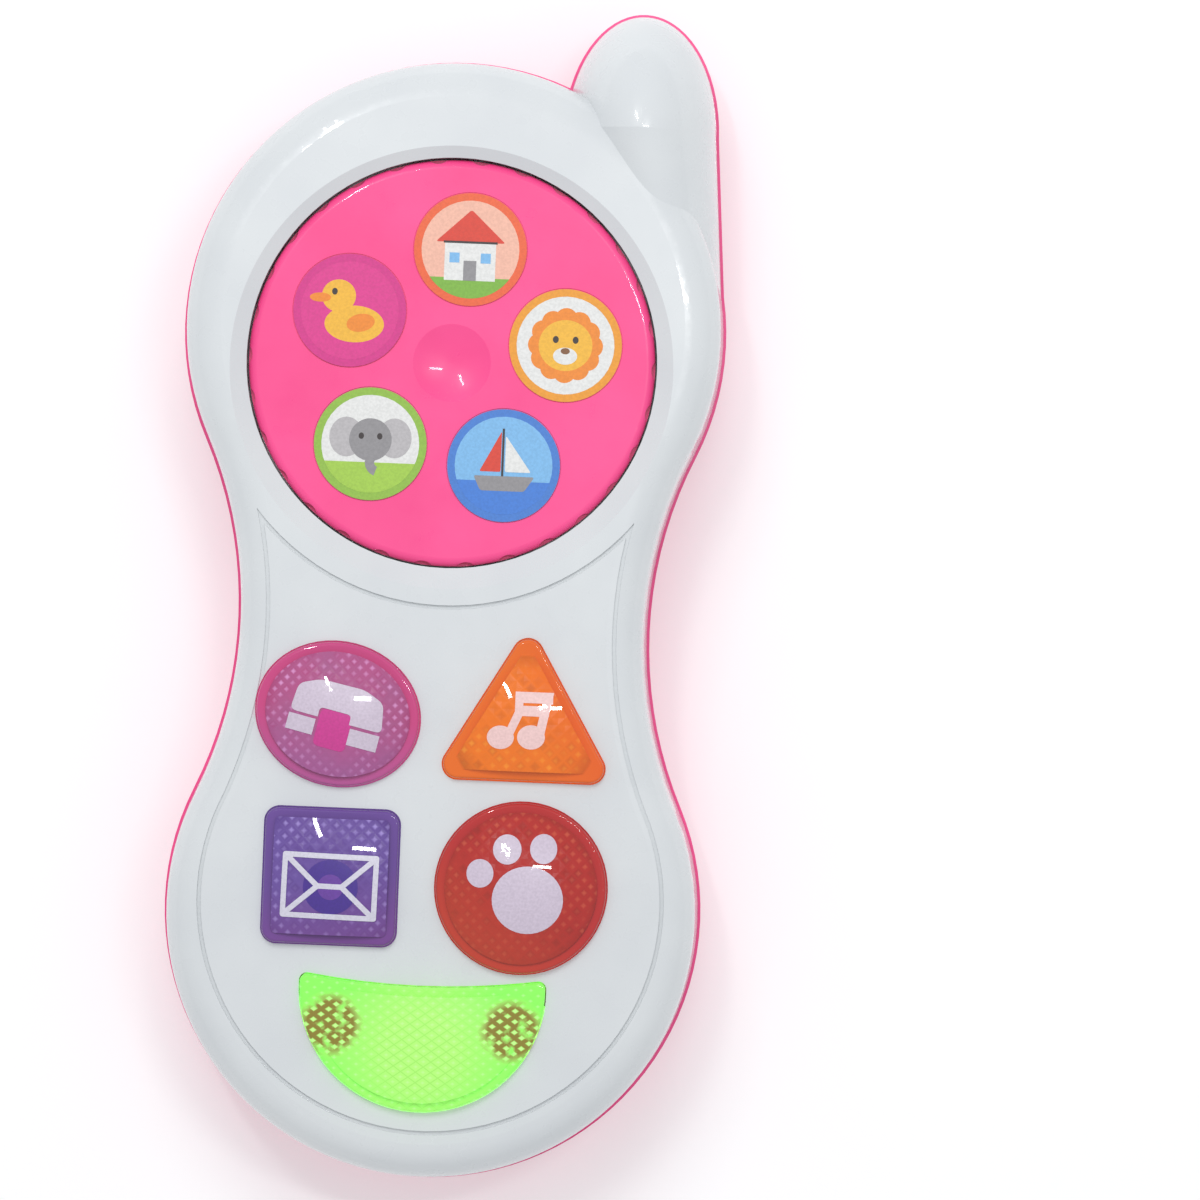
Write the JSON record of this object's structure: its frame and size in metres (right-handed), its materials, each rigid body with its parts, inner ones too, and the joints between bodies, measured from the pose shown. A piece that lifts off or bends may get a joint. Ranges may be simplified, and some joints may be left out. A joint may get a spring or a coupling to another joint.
{
  "type": "toy cell phone",
  "caption": "Rounded hourglass toy phone with a stub antenna, a spinning picture dial, four shaped translucent buttons and a lit smile-shaped window.",
  "frame": {"origin": "centre of the toy's footprint, on the plane of its flat back", "axes": "+X to the right seen from the front, +Y towards the antenna, +Z out of the front face; the toy lies on its back"},
  "size_m": [0.0776, 0.1676, 0.0343],
  "materials": {
    "white_shell": "gloss",
    "pink_shell": "gloss",
    "sticker_paper": "satin",
    "clear_pink": "gloss",
    "clear_orange": "gloss",
    "clear_violet": "gloss",
    "clear_red": "gloss",
    "clear_green": "gloss",
    "steel": "satin",
    "plated": "bright",
    "grey_plastic": "matte",
    "silicone": "matte",
    "board": "matte",
    "resin": "gloss",
    "lamp": "clear",
    "speaker_steel": "satin",
    "cone_paper": "matte",
    "cell_jacket": "satin",
    "wire_red": "satin",
    "wire_black": "satin"
  },
  "bodies": {
    "case": {"front_shell": "white_shell", "rear_shell": "pink_shell", "smile_lens": "clear_green", "case_screws": "steel", "click_leaf": "steel", "click_leaf_screw": "steel", "board_screws": "steel", "speaker_screws": "steel", "switch_screws": "steel", "battery_bridge": "plated", "positive_contact": "plated", "negative_contact": "plated", "battery_spring_1": "plated", "battery_spring_2": "plated", "switch_housing": "grey_plastic", "capacitor": "grey_plastic", "keypad_sheet": "silicone", "oval_dome": "silicone", "triangle_dome": "silicone", "square_dome": "silicone", "round_dome": "silicone", "circuit_board": "board", "chip_blob": "resin", "smile_led_1": "lamp", "smile_led_2": "lamp", "smile_led_3": "lamp", "triangle_led": "lamp", "speaker_frame": "speaker_steel", "speaker_magnet": "speaker_steel", "speaker_cone": "cone_paper", "battery_cell_1": "cell_jacket", "battery_cell_2": "cell_jacket", "battery_wire_red": "wire_red", "speaker_wire_1": "wire_red", "switch_wire_1": "wire_red", "battery_wire_black": "wire_black", "speaker_wire_2": "wire_black", "switch_wire_2": "wire_black"},
    "dial": {"spin_dial": "pink_shell", "click_wheel": "grey_plastic", "dial_screw": "steel", "picture_sticker_1": "sticker_paper", "picture_sticker_2": "sticker_paper", "picture_sticker_3": "sticker_paper", "picture_sticker_4": "sticker_paper", "picture_sticker_5": "sticker_paper"},
    "battery_door": {"battery_door": "pink_shell", "battery_door_screw": "steel"},
    "switch_knob": {"switch_knob": "grey_plastic"},
    "oval_button": {"oval_button": "clear_pink"},
    "triangle_button": {"triangle_button": "clear_orange"},
    "square_button": {"square_button": "clear_violet"},
    "round_button": {"round_button": "clear_red"}
  },
  "joints": [
    {"name": "dial_spin", "type": "hinge", "parent": "case", "child": "dial", "pos_m": [0, 0.03235, 0.027], "axis": [0, 0, 1], "continuous": true},
    {"name": "oval_press", "type": "slide", "parent": "case", "child": "oval_button", "axis": [0, 0, -1], "range_m": [0, 0.0012], "stiffness_N_per_m": 800, "springref_m": -0.0005, "deforming": ["oval_dome"]},
    {"name": "triangle_press", "type": "slide", "parent": "case", "child": "triangle_button", "axis": [0, 0, -1], "range_m": [0, 0.0012], "stiffness_N_per_m": 800, "springref_m": -0.0005, "deforming": ["triangle_dome"]},
    {"name": "square_press", "type": "slide", "parent": "case", "child": "square_button", "axis": [0, 0, -1], "range_m": [0, 0.0012], "stiffness_N_per_m": 800, "springref_m": -0.0005, "deforming": ["square_dome"]},
    {"name": "round_press", "type": "slide", "parent": "case", "child": "round_button", "axis": [0, 0, -1], "range_m": [0, 0.0012], "stiffness_N_per_m": 800, "springref_m": -0.0005, "deforming": ["round_dome"]},
    {"name": "switch_slide", "type": "slide", "parent": "case", "child": "switch_knob", "axis": [1, 0, 0], "range_m": [0, 0.004]},
    {"name": "battery_door_open", "type": "hinge", "parent": "case", "child": "battery_door", "pos_m": [0, -0.07, 0], "axis": [-1, 0, 0], "range_deg": [0, 75]}
  ]
}
